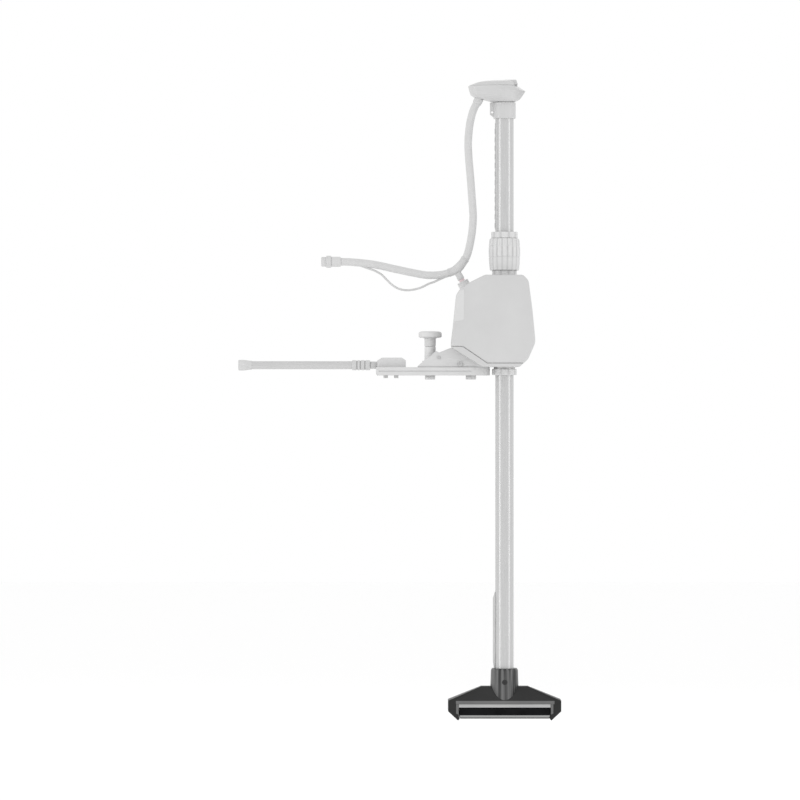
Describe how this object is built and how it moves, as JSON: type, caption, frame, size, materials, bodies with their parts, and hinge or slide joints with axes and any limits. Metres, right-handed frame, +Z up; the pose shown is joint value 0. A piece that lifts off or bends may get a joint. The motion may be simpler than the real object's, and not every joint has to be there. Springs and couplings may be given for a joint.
{
  "type": "trolling motor",
  "caption": "Motor-steered pole with a wide sonar foot, clamp-on depth nut, gearbox housing, swing mount with pull knob and telescoping stay rod.",
  "frame": {"origin": "underside of the mount plate, midway between the two hex bolts under it", "axes": "+X outboard along the plate towards the pole, +Y across the plate, +Z up the pole"},
  "size_m": [0.6642, 0.13, 1.3168],
  "materials": {
    "pale_metal": "pale grey powder coat",
    "bright_metal": "satin stainless",
    "rod_metal": "pale anodised",
    "pale_plastic": "pale grey, fine grain",
    "mid_plastic": "mid grey",
    "panel_plastic": "light grey",
    "nut_plastic": "pale grey",
    "bearing_plastic": "natural bearing plastic",
    "gear_plastic": "natural gear plastic",
    "bronze": "bronze",
    "soft_grey": "moulded rubber",
    "sleeve_braid": "pale braided conduit",
    "seal_red": "pink red seal",
    "board_green": "circuit board",
    "tube_skin": "pale satin tube",
    "foot_black": "charcoal, grained",
    "foot_gloss": "black gloss",
    "foot_bright": "satin trim",
    "lead_black": "black lead",
    "sonar_block": "element block"
  },
  "bodies": {
    "base": {"mount_plate": "pale_metal", "pivot_bush": "bronze", "anchor_bolt": "bright_metal", "rod_block": "pale_metal", "block_screws": "bright_metal", "inner_rod": "rod_metal"},
    "stay": {"rod_tube": "rod_metal", "rod_end_cap": "soft_grey"},
    "stay_nut": {"rod_lock_nut": "mid_plastic"},
    "carrier": {"pivot_bolt": "bright_metal", "cradle": "pale_metal", "cradle_pins": "bright_metal", "knob_sleeve": "pale_metal", "knob_spring": "bright_metal", "housing_front": "pale_plastic", "housing_rear": "pale_plastic", "housing_base": "mid_plastic", "port_panel": "panel_plastic", "cover_screws": "bright_metal", "sleeve_bushes": "bearing_plastic", "port_boss": "pale_plastic", "port_plug": "mid_plastic", "port_ring": "seal_red", "controller_board": "board_green", "gear_bracket": "bright_metal", "motor_body": "bright_metal", "junction_boot": "soft_grey", "head_conduit": "sleeve_braid", "harness_tail": "sleeve_braid", "tail_connector": "mid_plastic", "thin_cable": "soft_grey"},
    "knob": {"plunger_pin": "bright_metal", "pull_knob": "pale_plastic"},
    "motor_rotor": {"motor_pinion": "bronze"},
    "compound": {"compound_gear": "gear_plastic"},
    "rotor": {"steering_sleeve": "rod_metal", "main_gear": "gear_plastic", "neck_ring": "pale_plastic", "collet": "mid_plastic", "top_ring": "pale_plastic", "lower_collar": "pale_plastic"},
    "clamp_nut": {"depth_nut": "nut_plastic"},
    "head": {"head_lower": "pale_plastic", "head_cover": "pale_plastic", "neck_collar": "pale_plastic", "head_bearing": "bearing_plastic", "conduit_gland": "mid_plastic"},
    "pole": {"pole_tube": "tube_skin", "depth_rack": "tube_skin", "fairing_strip": "mid_plastic", "pole_cap": "bearing_plastic", "pole_cable": "lead_black", "foot_collar": "foot_black", "foot_body": "foot_black", "foot_end_caps": "foot_black", "foot_rail": "foot_bright", "foot_window": "foot_gloss", "foot_array": "sonar_block", "foot_screws": "foot_bright"}
  },
  "joints": [
    {"name": "swing", "type": "hinge", "parent": "base", "child": "carrier", "pos_m": [0.042, 0, 0.017], "axis": [0, 0, 1], "range_deg": [-90, 90]},
    {"name": "knob_pull", "type": "slide", "parent": "carrier", "child": "knob", "axis": [0, 0, 1], "range_m": [0, 0.012], "stiffness_N_per_m": 1200, "springref_m": -0.006, "deforming": ["knob_spring"]},
    {"name": "stay_slide", "type": "slide", "parent": "base", "child": "stay", "axis": [1, 0, 0], "range_m": [-0.06, 0]},
    {"name": "stay_nut_turn", "type": "hinge", "parent": "stay", "child": "stay_nut", "pos_m": [-0.184, 0, 0.0212], "axis": [1, 0, 0], "range_deg": [0, 180]},
    {"name": "depth", "type": "slide", "parent": "carrier", "child": "head", "axis": [0, 0, 1], "range_m": [-0.1, 0], "deforming": ["head_conduit"]},
    {"name": "steer", "type": "hinge", "parent": "head", "child": "pole", "pos_m": [0.1111, 0, 0], "axis": [0, 0, 1], "continuous": true},
    {"name": "sleeve_turn", "type": "hinge", "parent": "carrier", "child": "rotor", "pos_m": [0.1111, 0, 0], "axis": [0, 0, 1], "continuous": true},
    {"name": "compound_turn", "type": "hinge", "parent": "carrier", "child": "compound", "pos_m": [0.06352, 0.02219, 0.07], "axis": [0, 0, 1], "continuous": true},
    {"name": "motor_turn", "type": "hinge", "parent": "carrier", "child": "motor_rotor", "pos_m": [0.03352, 0.02219, 0.08], "axis": [0, 0, 1], "continuous": true},
    {"name": "nut_turn", "type": "hinge", "parent": "rotor", "child": "clamp_nut", "pos_m": [0.1111, 0, 0.25], "axis": [0, 0, 1], "range_deg": [0, 120]}
  ],
  "couplings": [
    {"joint": "sleeve_turn", "follows": "steer", "ratio": 1},
    {"joint": "compound_turn", "follows": "steer", "ratio": -4},
    {"joint": "motor_turn", "follows": "steer", "ratio": 16}
  ]
}
